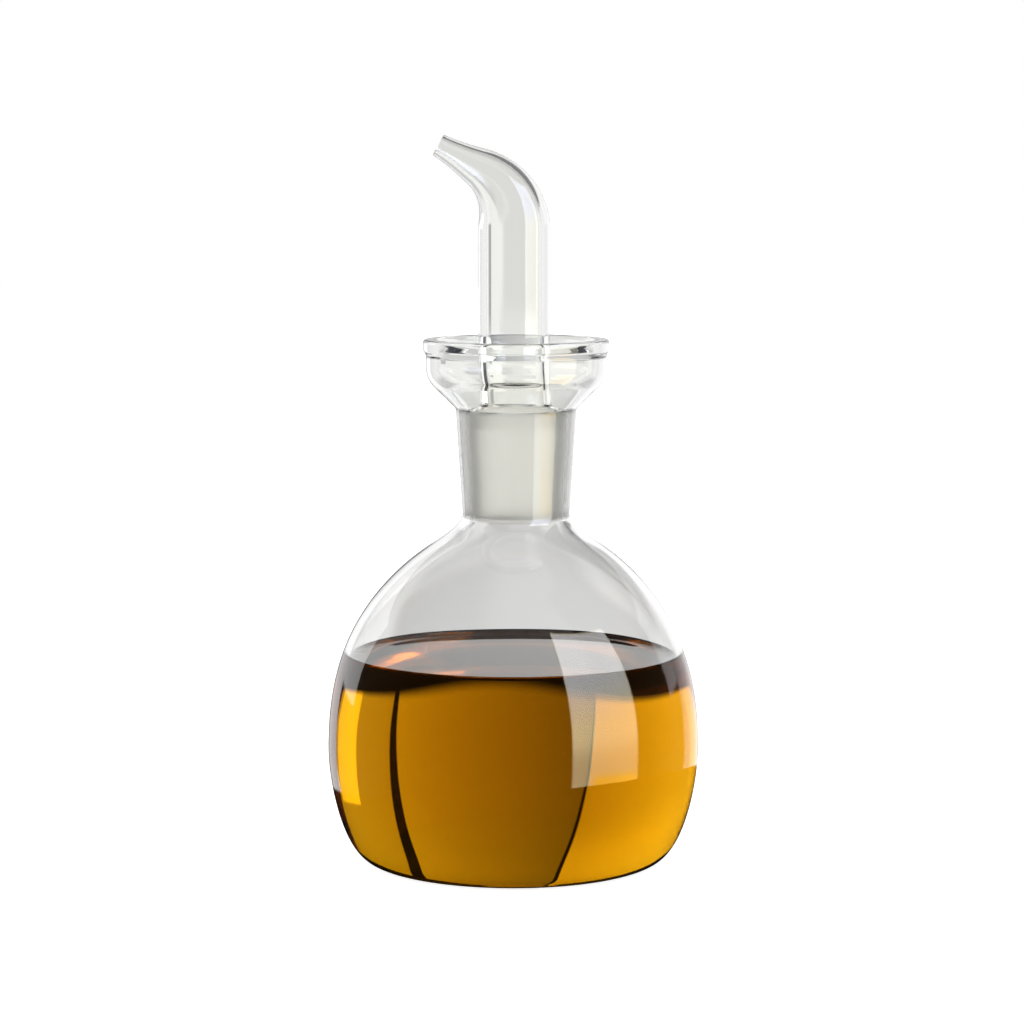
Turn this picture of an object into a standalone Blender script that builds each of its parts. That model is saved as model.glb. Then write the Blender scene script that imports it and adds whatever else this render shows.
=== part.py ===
"""A stoppered glass oil cruet with a bent pouring spout, standing on a table.

The flask has a squashed bulb, a tapered ground neck and a drip cup round its mouth. The spout stopper
has a hollow tapered plug that sits in the neck, and a tube that rises through the cup and bends to
one side into a narrow nozzle. Each of the two is one piece of glass on the real cruet, cut here into
a few solids so that their collision pieces stay hollow. The oil is a solid up to its level.
Metres, +Z up, origin on the table at the flask's axis. The spout points towards -X.
"""

import math

import bmesh
import bpy
from mathutils import Vector

# Driving dimensions of the flask
BULB_RADIUS = 0.0535
WIDEST_HEIGHT = 0.0320
FOOT_RADIUS = 0.0382
SHOULDER_RISE = 0.0690          # from the widest ring to the pole of the upper curve
WALL = 0.0021
BASE_THICKNESS = 0.0034
LOWER_POWERS = (2.5, 1.5)       # roundness of the heel, along the radius and along the height
UPPER_POWERS = (1.6, 2.4)       # roundness of the shoulder, along the radius and along the height
BLEND_RADIUS = 0.0235           # where the shoulder leaves the bulb's curve for the neck

# The ground joint, a 1 in 10 taper
JOINT_BOTTOM = 0.0990
JOINT_TOP = 0.1311
JOINT_RADIUS_BOTTOM = 0.0130
JOINT_RADIUS_TOP = 0.0146
NECK_RADIUS_BOTTOM = 0.01535
NECK_RADIUS_TOP = 0.0173

# The drip cup round the mouth
CUP_RADIUS = 0.0258
CUP_WALL = 0.0031
CUP_SHOULDER_HEIGHT = 0.1426    # where the cup's side becomes upright
CUP_SHOULDER_ROUND = 0.0075
CUP_CONE_ANGLE = math.radians(45)
LIP_RADIUS = 0.0266
LIP_INNER_RADIUS = 0.0224
LIP_BOTTOM = 0.1470
LIP_TOP = 0.1509
LIP_ROUND = 0.0008

# The spout stopper
PLUG_WALL = 0.0020
TUBE_RADIUS = 0.0100
TUBE_WALL = 0.0021
SHOULDER_TOP = 0.1345           # where the plug has narrowed to the tube
BEND_START = 0.1830
NOZZLE_BOTTOM = 0.1800          # the cut between the tube and the nozzle
BEND_RADIUS = 0.0188
BEND_ANGLE = math.radians(61)
TIP_LENGTH = 0.0135
TIP_RADIUS = 0.00327
TIP_WALL = 0.00095

# The oil
OIL_LEVEL = 0.0597
GAP = 0.0003                    # between pieces that touch
CUT = 0.0001                    # between the solids that one piece of glass is cut into
SHOULDER_BOTTOM = 0.0602        # where the bulb is cut from its shoulder
NECK_TOP = 0.1294               # where the neck is cut from the drip cup

# Fineness of the faceted solids
TURN_STEPS = 48
BULB_POINTS = 9
BEND_POINTS = 13
TUBE_BEVEL = 10                 # 24 sides round the tube
CUTTER_OVERRUN = 0.002


def make_material(name, colour, roughness, alpha=1.0):
    """Returns a plain Principled material."""
    material = bpy.data.materials.new(name)
    material.use_nodes = True
    shader = material.node_tree.nodes["Principled BSDF"]
    shader.inputs["Base Color"].default_value = (*colour, 1.0)
    shader.inputs["Roughness"].default_value = roughness
    shader.inputs["Metallic"].default_value = 0.0
    shader.inputs["Alpha"].default_value = alpha
    return material


def lower_curve(radius, foot, floor, points=BULB_POINTS):
    """Points from the foot up to the widest ring, a rounded quarter that leaves the foot flat."""
    power_r, power_z = LOWER_POWERS
    curve = []
    for step in range(points + 1):
        turn = math.pi / 2 * step / points
        r = foot + (radius - foot) * math.sin(turn) ** (2 / power_r)
        z = floor + (WIDEST_HEIGHT - floor) * (1 - math.cos(turn) ** (2 / power_z))
        curve.append((r, z))
    return curve


def upper_point(radius, rise, turn):
    """One point of the shoulder's curve, at the widest ring for turn 0 and on the axis for 90 degrees."""
    power_r, power_z = UPPER_POWERS
    return (radius * math.cos(turn) ** (2 / power_r),
            WIDEST_HEIGHT + rise * math.sin(turn) ** (2 / power_z))


def upper_curve(radius, rise, end_radius, points=BULB_POINTS):
    """Points from just above the widest ring up to where the shoulder has narrowed to end_radius."""
    end_turn = math.acos((end_radius / radius) ** (UPPER_POWERS[0] / 2))
    return [upper_point(radius, rise, end_turn * (step + 1) / points) for step in range(points)]


def neck_blend(radius, rise, start_radius, neck_radius, neck_height, points=5):
    """Points of the hollow curve from the shoulder up into the upright neck."""
    turn = math.acos((start_radius / radius) ** (UPPER_POWERS[0] / 2))
    start = Vector(upper_point(radius, rise, turn))
    slope = Vector(upper_point(radius, rise, turn + 0.001)) - start
    corner = start + slope * ((neck_radius - start.x) / slope.x)
    end = Vector((neck_radius, neck_height))
    curve = []
    for step in range(1, points + 1):
        share = step / points
        place = start * (1 - share) ** 2 + corner * 2 * share * (1 - share) + end * share ** 2
        curve.append((place.x, place.y))
    return curve


def arc(centre_r, centre_z, radius, start, end, points):
    """Points of a round corner, its angles counted from the radial direction upwards."""
    curve = []
    for step in range(points + 1):
        angle = start + (end - start) * step / points
        curve.append((centre_r + radius * math.cos(angle), centre_z + radius * math.sin(angle)))
    return curve


def joint_radius_at(height):
    """The radius of the neck's ground inside at a height."""
    share = (height - JOINT_BOTTOM) / (JOINT_TOP - JOINT_BOTTOM)
    return JOINT_RADIUS_BOTTOM + (JOINT_RADIUS_TOP - JOINT_RADIUS_BOTTOM) * share


def cup_outside():
    """Points of the cup's foot, its cone, its shoulder and the lip, from the neck up."""
    centre_r = CUP_RADIUS - CUP_SHOULDER_ROUND
    shoulder = arc(centre_r, CUP_SHOULDER_HEIGHT, CUP_SHOULDER_ROUND, -CUP_CONE_ANGLE, 0.0, 5)
    cone_r, cone_z = shoulder[0]
    foot_z = cone_z - (cone_r - NECK_RADIUS_TOP) * math.tan(CUP_CONE_ANGLE)
    foot = [(NECK_RADIUS_TOP, NECK_TOP + CUT),
            (NECK_RADIUS_TOP + 0.0003, foot_z - 0.0003),
            (NECK_RADIUS_TOP + 0.0012, foot_z + 0.0010)]
    lip = [(CUP_RADIUS, LIP_BOTTOM - 0.0008)]
    lip += arc(LIP_RADIUS - LIP_ROUND, LIP_BOTTOM + LIP_ROUND, LIP_ROUND, -math.pi / 3, 0.0, 2)
    lip += arc(LIP_RADIUS - LIP_ROUND, LIP_TOP - LIP_ROUND, LIP_ROUND, 0.0, math.pi / 2, 3)
    return foot + shoulder + lip


def cup_inside():
    """Points of the lip's inner edge, the bowl's side and its cone, down to the ground joint."""
    inner_round = CUP_SHOULDER_ROUND - CUP_WALL
    centre_r = CUP_RADIUS - CUP_SHOULDER_ROUND
    lip = arc(LIP_INNER_RADIUS + LIP_ROUND, LIP_TOP - LIP_ROUND, LIP_ROUND, math.pi / 2, math.pi, 3)
    lip += [(LIP_INNER_RADIUS, LIP_BOTTOM),
            (CUP_RADIUS - CUP_WALL, LIP_BOTTOM - 0.0010)]
    bowl = arc(centre_r, CUP_SHOULDER_HEIGHT, inner_round, 0.0, -CUP_CONE_ANGLE, 3)
    mouth = [(JOINT_RADIUS_TOP + 0.0006, JOINT_TOP + 0.0006),
             (JOINT_RADIUS_TOP, JOINT_TOP),
             (joint_radius_at(NECK_TOP + CUT), NECK_TOP + CUT)]
    return lip + bowl + mouth


def cup_profile():
    """The drip cup's closed cut outline at +X: up the inside, over the lip, down the outside."""
    return cup_inside()[::-1] + cup_outside()[::-1]


def neck_profile():
    """The neck's closed cut outline at +X: up the ground inside, down the outside."""
    bottom = JOINT_BOTTOM + CUT
    return [(joint_radius_at(bottom), bottom),
            (joint_radius_at(NECK_TOP), NECK_TOP),
            (NECK_RADIUS_TOP, NECK_TOP),
            (NECK_RADIUS_BOTTOM, bottom)]


def bulb_lines():
    """The bulb's inside and outside at +X, each from the axis up to the neck."""
    inner_radius = BULB_RADIUS - WALL
    inner_rise = SHOULDER_RISE - WALL
    inner_foot = FOOT_RADIUS - 0.0010
    inner_start = BLEND_RADIUS - WALL
    inside = [(0.0, BASE_THICKNESS)]
    inside += lower_curve(inner_radius, inner_foot, BASE_THICKNESS)
    inside += upper_curve(inner_radius, inner_rise, inner_start)
    inside += neck_blend(inner_radius, inner_rise, inner_start, JOINT_RADIUS_BOTTOM, JOINT_BOTTOM)
    outside = [(0.0, 0.0)]
    outside += lower_curve(BULB_RADIUS, FOOT_RADIUS, 0.0)
    outside += upper_curve(BULB_RADIUS, SHOULDER_RISE, BLEND_RADIUS)
    outside += neck_blend(BULB_RADIUS, SHOULDER_RISE, BLEND_RADIUS, NECK_RADIUS_BOTTOM, JOINT_BOTTOM)
    return inside, outside


def line_at(line, height):
    """The point of a rising line at a height, on the straight stretch between two of its points."""
    for low, high in zip(line, line[1:]):
        if low[1] <= height < high[1]:
            share = (height - low[1]) / (high[1] - low[1])
            return low[0] + (high[0] - low[0]) * share, height
    raise ValueError("the line does not reach that height")


def bulb_profile():
    """The lower bulb's cut outline at +X: up the inside from the floor, then down the outside."""
    inside, outside = bulb_lines()
    lower_inside = [point for point in inside if point[1] < SHOULDER_BOTTOM]
    lower_outside = [point for point in outside if point[1] < SHOULDER_BOTTOM]
    top = [line_at(inside, SHOULDER_BOTTOM), line_at(outside, SHOULDER_BOTTOM)]
    return lower_inside + top + lower_outside[::-1]


def shoulder_profile():
    """The shoulder's closed cut outline at +X: up the inside to the neck, then down the outside."""
    bottom = SHOULDER_BOTTOM + CUT
    inside, outside = bulb_lines()
    upper_inside = [point for point in inside if point[1] > bottom]
    upper_outside = [point for point in outside if point[1] > bottom]
    return ([line_at(inside, bottom)] + upper_inside
            + upper_outside[::-1] + [line_at(outside, bottom)])


def inner_radius_at(height):
    """The radius of the bulb's inner wall at a height above the widest ring."""
    inner_radius = BULB_RADIUS - WALL
    share = (height - WIDEST_HEIGHT) / (SHOULDER_RISE - WALL)
    turn = math.asin(share ** (UPPER_POWERS[1] / 2))
    return upper_point(inner_radius, SHOULDER_RISE - WALL, turn)[0]


def oil_profile():
    """The oil's cut outline at +X: its flat surface, then down the wall to the floor."""
    radius = BULB_RADIUS - WALL - GAP
    foot = FOOT_RADIUS - 0.0010 - GAP
    level_radius = inner_radius_at(OIL_LEVEL) - GAP
    rise = SHOULDER_RISE - WALL
    side = [point for point in upper_curve(radius, rise, level_radius, 5)][:-1]
    wall = lower_curve(radius, foot, BASE_THICKNESS + GAP, 8) + side + [(level_radius, OIL_LEVEL)]
    return [(0.0, OIL_LEVEL)] + wall[::-1] + [(0.0, BASE_THICKNESS + GAP)]


def turned(name, profile, material, collection, ring=False):
    """Returns an object turned round the Z axis from (radius, height) points, which meet if ring."""
    mesh = bpy.data.meshes.new(name)
    shape = bmesh.new()
    points = [shape.verts.new((r, 0.0, z)) for r, z in profile]
    for first, second in zip(points, points[1:]):
        shape.edges.new((first, second))
    if ring:
        shape.edges.new((points[-1], points[0]))
    shape.to_mesh(mesh)
    shape.free()
    obj = bpy.data.objects.new(name, mesh)
    collection.objects.link(obj)
    screw = obj.modifiers.new("Turn", "SCREW")
    screw.axis = "Z"
    screw.angle = math.tau
    screw.steps = TURN_STEPS
    screw.render_steps = TURN_STEPS
    screw.use_merge_vertices = True
    screw.merge_threshold = 0.00001
    screw.use_smooth_shade = True
    mesh.materials.append(material)
    return obj


def spout_route():
    """Points of the spout's bent stretch as (place, share of its length), from the bend's start."""
    bend_length = BEND_RADIUS * BEND_ANGLE
    total = bend_length + TIP_LENGTH
    route = []
    for step in range(BEND_POINTS + 1):
        angle = BEND_ANGLE * step / BEND_POINTS
        place = Vector((-BEND_RADIUS * (1 - math.cos(angle)), 0.0, BEND_START + BEND_RADIUS * math.sin(angle)))
        route.append((place, BEND_RADIUS * angle / total))
    start = route[-1][0]
    heading = Vector((-math.sin(BEND_ANGLE), 0.0, math.cos(BEND_ANGLE)))
    for share in (1 / 3, 2 / 3, 1.0):
        along = TIP_LENGTH * share
        route.append((start + heading * along, (bend_length + along) / total))
    return route, heading


def taper(share):
    """How far the tube has narrowed: 0 at the bend's start, 1 at the tip, eased by a half cosine."""
    return 0.6 * (1 - math.cos(math.pi * share)) / 2 + 0.4 * share


def plug_outside():
    """The plug's outside as (place, radius), from its foot up to where it has narrowed to the tube."""
    plug_bottom = JOINT_BOTTOM + GAP
    plug_top = JOINT_TOP
    slope = (JOINT_RADIUS_TOP - JOINT_RADIUS_BOTTOM) / (JOINT_TOP - JOINT_BOTTOM)
    outside = [(Vector((0, 0, plug_bottom)), JOINT_RADIUS_BOTTOM - GAP - 0.0005),
               (Vector((0, 0, plug_bottom + 0.0007)), JOINT_RADIUS_BOTTOM - GAP + 0.0007 * slope),
               (Vector((0, 0, plug_top)), JOINT_RADIUS_TOP - GAP)]
    shoulder_points = 5
    for step in range(1, shoulder_points + 1):
        share = step / shoulder_points
        ease = (1 - math.cos(math.pi * share)) / 2
        radius = (JOINT_RADIUS_TOP - GAP) + (TUBE_RADIUS - JOINT_RADIUS_TOP + GAP) * ease
        outside.append((Vector((0, 0, plug_top + (SHOULDER_TOP - plug_top) * share)), radius))
    return outside


def tube_outside():
    """The upright tube's outside as (place, radius)."""
    return [(Vector((0, 0, SHOULDER_TOP + CUT)), TUBE_RADIUS),
            (Vector((0, 0, NOZZLE_BOTTOM - CUT)), TUBE_RADIUS)]


def nozzle_outside():
    """The outside of the bend and the tip as (place, radius)."""
    route, _ = spout_route()
    foot = (Vector((0, 0, NOZZLE_BOTTOM)), TUBE_RADIUS)
    return [foot] + [(place, TUBE_RADIUS + (TIP_RADIUS - TUBE_RADIUS) * taper(share))
                     for place, share in route]


def spout_bore():
    """The hollow through the stopper as (place, radius), running past both of its ends."""
    bottom = JOINT_BOTTOM + GAP
    bore_radius = TUBE_RADIUS - TUBE_WALL
    tip_bore = TIP_RADIUS - TIP_WALL
    bore = [(Vector((0, 0, bottom - CUTTER_OVERRUN)), JOINT_RADIUS_BOTTOM - PLUG_WALL),
            (Vector((0, 0, JOINT_TOP - 0.0015)), JOINT_RADIUS_TOP - GAP - PLUG_WALL)]
    shoulder_points = 4
    for step in range(1, shoulder_points + 1):
        share = step / shoulder_points
        ease = (1 - math.cos(math.pi * share)) / 2
        wide = JOINT_RADIUS_TOP - GAP - PLUG_WALL
        height = JOINT_TOP - 0.0015 + (SHOULDER_TOP - JOINT_TOP + 0.0010) * share
        bore.append((Vector((0, 0, height)), wide + (bore_radius - wide) * ease))
    route, heading = spout_route()
    for place, share in route:
        bore.append((place, bore_radius + (tip_bore - bore_radius) * taper(share)))
    bore.append((route[-1][0] + heading * CUTTER_OVERRUN, tip_bore))
    return bore


def tube_mesh(name, stations, collection):
    """Returns a closed mesh object, a round tube through stations of (place, radius)."""
    curve = bpy.data.curves.new(name + "_route", "CURVE")
    curve.dimensions = "3D"
    curve.bevel_depth = 1.0
    curve.bevel_resolution = TUBE_BEVEL
    curve.use_fill_caps = True
    spline = curve.splines.new("POLY")
    spline.points.add(len(stations) - 1)
    for point, (place, radius) in zip(spline.points, stations):
        point.co = (*place, 1.0)
        point.radius = radius
    route = bpy.data.objects.new(name + "_route", curve)
    collection.objects.link(route)
    bpy.context.view_layer.update()
    graph = bpy.context.evaluated_depsgraph_get()
    mesh = bpy.data.meshes.new_from_object(route.evaluated_get(graph))
    mesh.name = name
    shape = bmesh.new()
    shape.from_mesh(mesh)
    bmesh.ops.remove_doubles(shape, verts=shape.verts, dist=0.000001)
    bmesh.ops.recalc_face_normals(shape, faces=shape.faces)
    shape.to_mesh(mesh)
    shape.free()
    tube = bpy.data.objects.new(name, mesh)
    tube.matrix_world = route.matrix_world.copy()
    collection.objects.link(tube)
    bpy.data.objects.remove(route)
    bpy.data.curves.remove(curve)
    return tube


def build_flask(parts):
    """The flask's bulb, shoulder, neck and drip cup, each turned from its outline."""
    glass = make_material("clear_glass", (0.93, 0.95, 0.94), 0.02, 0.35)
    return [turned("bulb", bulb_profile(), glass, parts),
            turned("shoulder", shoulder_profile(), glass, parts, ring=True),
            turned("neck", neck_profile(), glass, parts, ring=True),
            turned("drip_cup", cup_profile(), glass, parts, ring=True)]


def build_oil(parts):
    """The oil, a turned solid that fills the bulb up to its flat surface."""
    golden = make_material("golden_oil", (0.72, 0.42, 0.02), 0.05, 0.9)
    return turned("oil", oil_profile(), golden, parts)


def build_spout(parts, cutters):
    """The stopper's plug, tube and nozzle, each an outer tube with the same bore cut through it."""
    bore = tube_mesh("spout_bore", spout_bore(), cutters)
    bore.hide_render = True
    bore.display_type = "WIRE"
    frosted = make_material("frosted_glass", (0.88, 0.89, 0.86), 0.25, 0.6)
    pieces = []
    for name, outside in (("plug", plug_outside()), ("tube", tube_outside()), ("nozzle", nozzle_outside())):
        piece = tube_mesh(name, outside, parts)
        piece.data.materials.clear()
        piece.data.materials.append(frosted)
        cut = piece.modifiers.new("Bore", "BOOLEAN")
        cut.operation = "DIFFERENCE"
        cut.object = bore
        cut.solver = "EXACT"
        piece.data.shade_smooth()
        piece.data.set_sharp_from_angle(angle=math.radians(35))
        pieces.append(piece)
    return pieces


def main():
    """Clears the scene and builds the solids of the cruet."""
    for obj in list(bpy.data.objects):
        bpy.data.objects.remove(obj)
    parts = bpy.data.collections.new("oil_cruet")
    cutters = bpy.data.collections.new("cutters")
    bpy.context.scene.collection.children.link(parts)
    bpy.context.scene.collection.children.link(cutters)
    stand = bpy.data.objects.new("cruet", None)
    parts.objects.link(stand)
    for piece in (*build_flask(parts), *build_spout(parts, cutters), build_oil(parts)):
        piece.parent = stand


main()
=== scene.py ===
"""The looks of a stoppered glass oil cruet, part filled with golden oil.

Every surface is worked out with numpy. The flask and the oil are cut outlines turned round the Z
axis, and the spout stopper is a ring carried along a bent centre line. Metres, +Z up, origin on the
table at the flask's axis. The spout points towards -X.
"""

import logging
import math
from dataclasses import dataclass, field
from enum import Enum

import bpy
import numpy as np
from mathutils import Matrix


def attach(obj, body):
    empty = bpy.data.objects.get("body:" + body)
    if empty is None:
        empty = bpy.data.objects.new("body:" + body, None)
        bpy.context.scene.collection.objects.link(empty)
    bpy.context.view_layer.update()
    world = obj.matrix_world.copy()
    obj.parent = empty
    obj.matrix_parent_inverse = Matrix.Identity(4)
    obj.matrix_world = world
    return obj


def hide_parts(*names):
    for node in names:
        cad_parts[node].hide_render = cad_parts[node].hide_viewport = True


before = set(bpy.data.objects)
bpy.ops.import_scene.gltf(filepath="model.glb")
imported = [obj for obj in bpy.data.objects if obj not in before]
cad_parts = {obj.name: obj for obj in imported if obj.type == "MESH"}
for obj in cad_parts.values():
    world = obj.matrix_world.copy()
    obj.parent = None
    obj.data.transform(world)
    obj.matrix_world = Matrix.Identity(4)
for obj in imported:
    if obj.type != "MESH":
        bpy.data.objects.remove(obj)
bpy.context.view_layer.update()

LOG = logging.getLogger("cruet")

BODY = "root"
OIL_LEVEL = 0.0592
OIL_CLIMB = 0.0017
SAME_PLACE = 1e-7
BELL_WIDTHS = 3.5
FINE_SPACING = 0.00005
LONGEST_STEP = 0.0020
SHARPEST_STEP = 2.2
BLACK = (0.0, 0.0, 0.0, 1.0)
WHITE = (1.0, 1.0, 1.0, 1.0)

Outline = np.ndarray
Surface = np.ndarray


class Slot(Enum):
    """The record's material slots."""

    CLEAR = "clear_glass"
    GROUND = "ground_glass"
    OIL = "golden_oil"


class Side(Enum):
    """Which finish a face of a glass piece takes, as its place in the piece's material list. The last is the
    same glass with its reflections painted dimmer and bluer.
    """

    POLISHED = 0
    GROUND = 1
    WETTED = 2
    # The same clear glass with its reflections painted dimmer and bluer, for the faces above the joint.
    PAINTED_COOL_SHINE = 3


def joined(*runs: Outline) -> Outline:
    """Puts runs of (radius, height) points one after the other.

    Args:
        runs: arrays of shape (n, 2).

    Returns:
        One array of all the points, without neighbours that fall on the same place.
    """
    points = np.vstack(runs)
    step = np.linalg.norm(np.diff(points, axis=0), axis=1)
    return points[np.concatenate([[True], step > SAME_PLACE])]


def evened(points: Outline, spacing: float) -> Outline:
    """Places points at even distances along a line of straight stretches.

    Args:
        points: the line, shape (n, 2).
        spacing: the distance from point to point, in metres.

    Returns:
        The same line with its points evenly spaced, its ends kept.
    """
    step = np.linalg.norm(np.diff(points, axis=0), axis=1)
    along = np.concatenate([[0.0], np.cumsum(step)])
    count = max(int(round(along[-1] / spacing)), 2) + 1
    places = np.linspace(0.0, along[-1], count)
    return np.column_stack([np.interp(places, along, points[:, axis]) for axis in (0, 1)])


def softened(points: Outline, reach: float, spacing: float = 0.0001) -> Outline:
    """Rounds the corners of a line with a bell-shaped average along its length.

    Each point becomes the mean of its neighbours, weighted by exp(-distance squared / 2 reach squared).
    Past each end the line is mirrored through its end point, so that the ends and their directions stay.

    Args:
        points: the line, shape (n, 2).
        reach: the bell's width in metres.
        spacing: the distance from point to point of the result, in metres.

    Returns:
        The rounded line, evenly spaced.
    """
    line = evened(points, spacing)
    margin = min(int(math.ceil(BELL_WIDTHS * reach / spacing)), len(line) - 1)
    offsets = np.arange(-margin, margin + 1) * spacing
    bell = np.exp(-offsets ** 2 / (2 * reach ** 2))
    bell /= bell.sum()
    before = 2 * line[0] - line[margin:0:-1]
    after = 2 * line[-1] - line[-2:-margin - 2:-1]
    padded = np.vstack([before, line, after])
    return np.column_stack([np.convolve(padded[:, axis], bell, mode="valid") for axis in (0, 1)])


def thinned(points: Outline, longest: float, sharpest: float) -> Outline:
    """Keeps fewer points of a fine line, closer together where it bends.

    A running measure grows by length / longest and by turn / sharpest, and the kept points stand at
    equal steps of that measure.

    Args:
        points: the line, shape (n, 2).
        longest: the length of a step on a straight stretch, in metres.
        sharpest: the turn of a step in a bend, in degrees.

    Returns:
        The line with fewer points, its ends kept.
    """
    step = np.diff(points, axis=0)
    length = np.linalg.norm(step, axis=1)
    heading = np.unwrap(np.arctan2(step[:, 1], step[:, 0]))
    turn = np.abs(np.diff(heading, prepend=heading[0]))
    measure = np.concatenate([[0.0], np.cumsum(length / longest + turn / math.radians(sharpest))])
    places = np.linspace(0.0, measure[-1], int(math.ceil(measure[-1])) + 1)
    return np.column_stack([np.interp(places, measure, points[:, axis]) for axis in (0, 1)])


def round_corner(centre: tuple[float, float], radius: float, start: float, end: float,
                 count: int = 24) -> Outline:
    """A circular arc: centre + radius (cos angle, sin angle), the angle going from start to end.

    Args:
        centre: the arc's centre as (radius, height).
        radius: the arc's radius in metres.
        start: the first angle in degrees, counted from the outward direction upwards.
        end: the last angle in degrees.
        count: the number of steps.

    Returns:
        The arc's points, shape (count + 1, 2).
    """
    angle = np.radians(np.linspace(start, end, count + 1))
    return np.column_stack([centre[0] + radius * np.cos(angle), centre[1] + radius * np.sin(angle)])


@dataclass(frozen=True)
class Sway:
    """Small departures from the true round that a hand-blown piece has.

    The axis leans to +X by offset * smoothstep(height from start to end). A radius changes by
    depth * share * sin(count * angle + climb * height / pitch + shift * phase), summed over the
    waves, which give share, count, climb and shift. The phase goes from 0 to drift along an outline,
    and the ripple dies out towards the axis, from the radius fade inwards.
    """

    offset: float = 0.0008
    start: float = 0.060
    end: float = 0.098
    depth: float = 0.00005
    pitch: float = 0.021
    drift: float = 2.4
    fade: float = 0.008
    waves: tuple[tuple[float, float, float, float], ...] = (
        (1.0, 2.0, 1.0, 1.0),
        (0.6, 3.0, -1.7, 2.1),
        (0.35, 5.0, 2.9, 0.7),
    )

    def lean(self, height: np.ndarray) -> np.ndarray:
        """How far the axis stands to +X at each height: offset * (3 s^2 - 2 s^3)."""
        share = np.clip((height - self.start) / (self.end - self.start), 0.0, 1.0)
        return self.offset * share ** 2 * (3 - 2 * share)

    def ripple(self, angle: np.ndarray, height: np.ndarray, phase: np.ndarray) -> np.ndarray:
        """The change of radius at each angle and height, as the sum of the waves."""
        rise = height / self.pitch
        waves = [share * np.sin(count * angle + climb * rise + shift * phase)
                 for share, count, climb, shift in self.waves]
        return self.depth * sum(waves)


def turned(outline: Outline, steps: int, sway: Sway, loose: np.ndarray) -> Surface:
    """Turns an outline round the Z axis.

    A point of the surface is (r cos a + lean, r sin a, z), where r is the outline's radius plus the
    ripple of the sway, weighted by loose.

    Args:
        outline: the cut outline at +X as (radius, height), shape (n, 2).
        steps: the number of steps round the axis.
        sway: the departures from the true round.
        loose: how much of the ripple each outline point takes, as an array of n numbers.

    Returns:
        The surface's points, shape (n, steps, 3).
    """
    angle = np.linspace(0.0, math.tau, steps, endpoint=False)[None, :]
    radius = outline[:, :1]
    height = outline[:, 1:]
    phase = np.linspace(0.0, sway.drift, len(outline))[:, None]
    fade = np.clip(radius / sway.fade, 0.0, 1.0) * loose[:, None]
    swollen = radius + fade * sway.ripple(angle, height, phase)
    shift = sway.lean(height)
    return np.stack([swollen * np.cos(angle) + shift, swollen * np.sin(angle), height + 0.0 * angle], axis=-1)


def make_piece(name: str, surface: Surface, materials: list[bpy.types.Material],
               sides: np.ndarray, ring: bool) -> bpy.types.Object:
    """Makes a closed mesh object from a grid of points.

    The grid's columns go round and meet. Its rows either meet too, for a ring, or end at a pole on
    each side, where the whole row is one point.

    Args:
        name: the object's name.
        surface: the points, shape (rows, columns, 3), so ordered that the faces look outwards.
        materials: the finishes that the faces choose from.
        sides: the finish of the faces after each row, as places in materials.
        ring: whether the last row joins the first.

    Returns:
        The object, at the origin and linked to the scene.
    """
    rows, columns, _ = surface.shape
    column = np.arange(columns)
    beside = (column + 1) % columns
    if ring:
        points = surface.reshape(-1, 3)
        row = np.arange(rows)[:, None]
        above = (row + 1) % rows
        quads = np.stack([row * columns + column, row * columns + beside,
                          above * columns + beside, above * columns + column], axis=-1).reshape(-1, 4)
        fans = np.zeros((0, 3), dtype=int)
        quad_sides = np.repeat(sides, columns)
        fan_sides = np.zeros(0, dtype=int)
    else:
        points = np.vstack([surface[0, :1], surface[1:-1].reshape(-1, 3), surface[-1, :1]])
        row = np.arange(rows - 3)[:, None]
        above = row + 1
        quads = 1 + np.stack([row * columns + column, row * columns + beside,
                              above * columns + beside, above * columns + column], axis=-1).reshape(-1, 4)
        last = len(points) - 1
        top = 1 + (rows - 3) * columns
        low_fan = np.stack([np.zeros(columns, dtype=int), 1 + beside, 1 + column], axis=-1)
        high_fan = np.stack([top + column, top + beside, np.full(columns, last)], axis=-1)
        fans = np.vstack([low_fan, high_fan])
        quad_sides = np.repeat(sides[1:rows - 2], columns)
        fan_sides = np.concatenate([np.full(columns, sides[0]), np.full(columns, sides[rows - 2])])
    mesh = bpy.data.meshes.new(name)
    mesh.from_pydata(points.tolist(), [], quads.tolist() + fans.tolist())
    for material in materials:
        mesh.materials.append(material)
    mesh.polygons.foreach_set("material_index", np.concatenate([quad_sides, fan_sides]).astype(np.int32))
    mesh.polygons.foreach_set("use_smooth", np.ones(len(mesh.polygons), dtype=bool))
    mesh.update()
    piece = bpy.data.objects.new(name, mesh)
    bpy.context.scene.collection.objects.link(piece)
    LOG.info("%s: %d faces", name, len(mesh.polygons))
    return piece


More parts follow.
